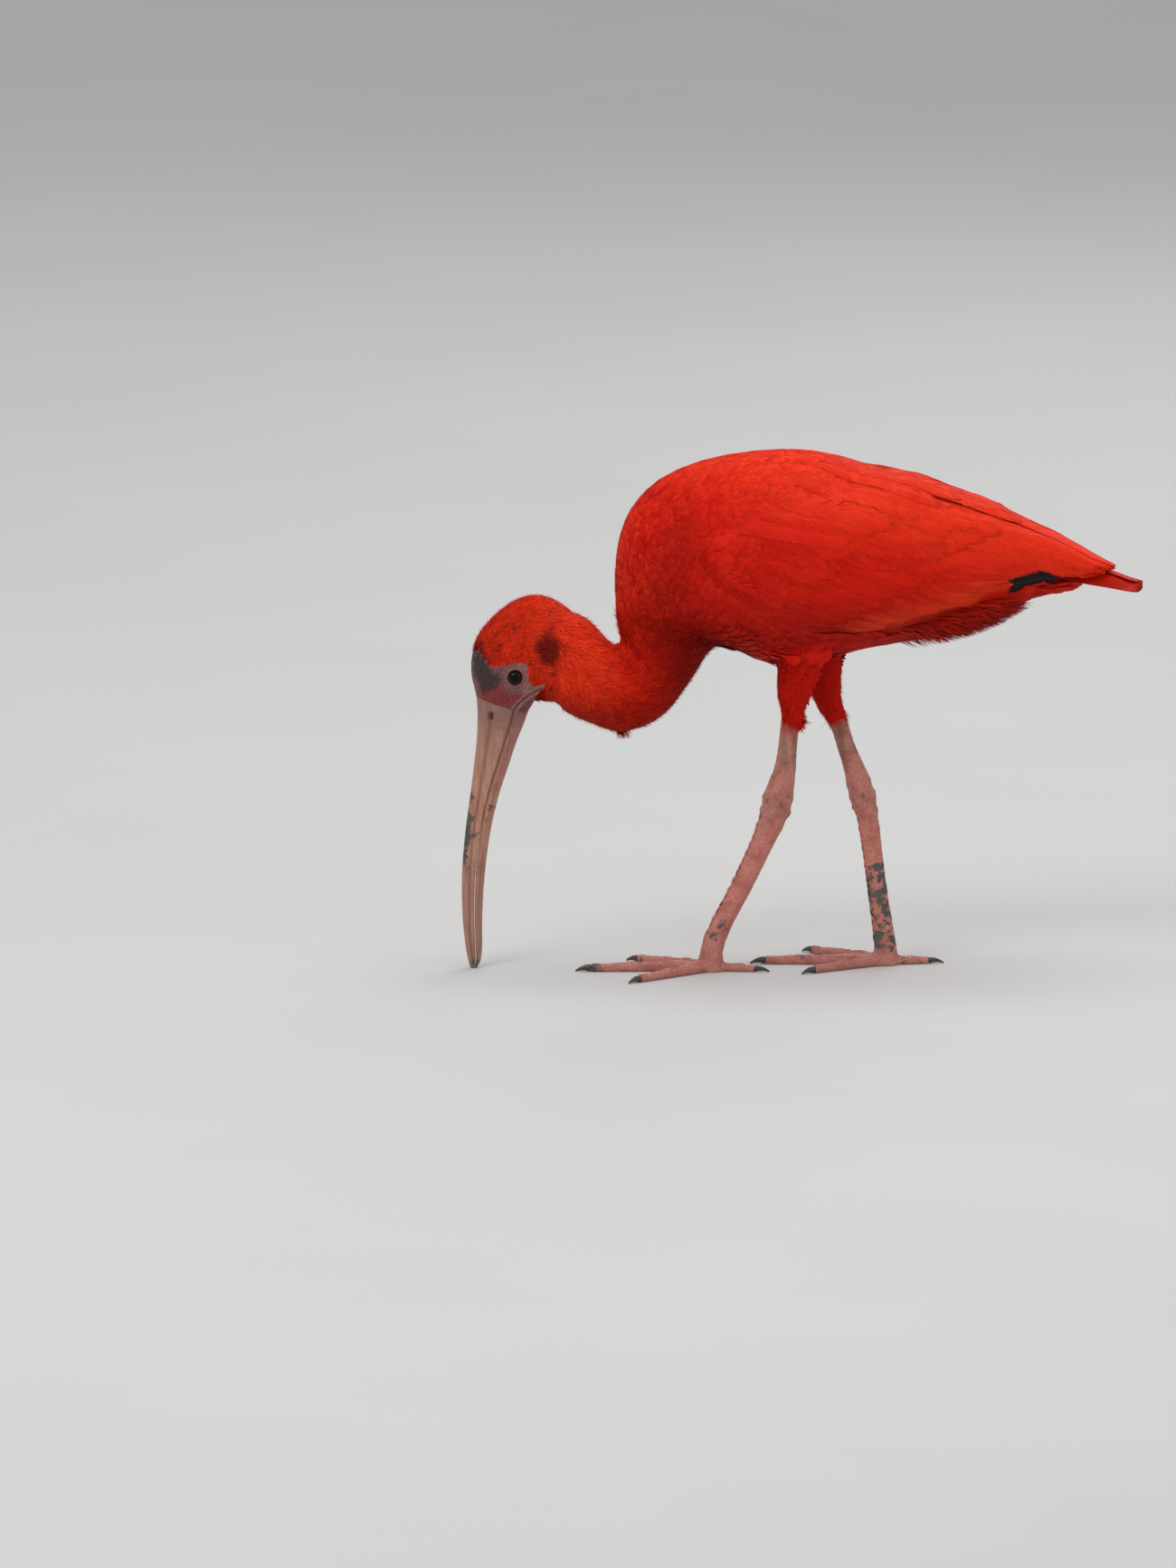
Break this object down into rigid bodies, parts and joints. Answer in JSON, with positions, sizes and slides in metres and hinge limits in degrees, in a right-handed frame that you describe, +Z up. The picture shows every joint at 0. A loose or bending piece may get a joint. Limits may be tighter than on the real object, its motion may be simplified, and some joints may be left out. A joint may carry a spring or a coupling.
{
  "type": "scarlet ibis",
  "caption": "Life-size scarlet ibis that walks with its head low and the tip of its long down-curved bill on the ground, wings folded, as a still museum model.",
  "frame": {"origin": "middle of the model's box on the floor that it stands on", "axes": "-X is the way the bird faces, -Y its left side, +Z up"},
  "size_m": [0.3907, 0.1144, 0.3025],
  "materials": {
    "plumage": "soft matt feathers",
    "flight_feathers": "smooth satin feathers, black at the tips of the longest",
    "bill": "satin horn, muddy",
    "eye": "wet gloss",
    "leg_skin": "finely scaled skin",
    "claw": "satin horn"
  },
  "bodies": {
    "root": {"head": "plumage", "neck_upper": "plumage", "neck_lower": "plumage", "torso": "plumage", "thigh_left": "plumage", "thigh_right": "plumage", "wing_left": "flight_feathers", "wing_right": "flight_feathers", "tail": "flight_feathers", "bill_upper": "bill", "bill_lower": "bill", "eye_left": "eye", "eye_right": "eye", "shank_left": "leg_skin", "tarsus_left": "leg_skin", "foot_left": "leg_skin", "toe_inner_left": "leg_skin", "claw_inner_left": "claw", "toe_middle_left": "leg_skin", "claw_middle_left": "claw", "toe_outer_left": "leg_skin", "claw_outer_left": "claw", "toe_hallux_left": "leg_skin", "claw_hallux_left": "claw", "shank_right": "leg_skin", "tarsus_right": "leg_skin", "foot_right": "leg_skin", "toe_inner_right": "leg_skin", "claw_inner_right": "claw", "toe_middle_right": "leg_skin", "claw_middle_right": "claw", "toe_outer_right": "leg_skin", "claw_outer_right": "claw", "toe_hallux_right": "leg_skin", "claw_hallux_right": "claw"}
  },
  "joints": []
}
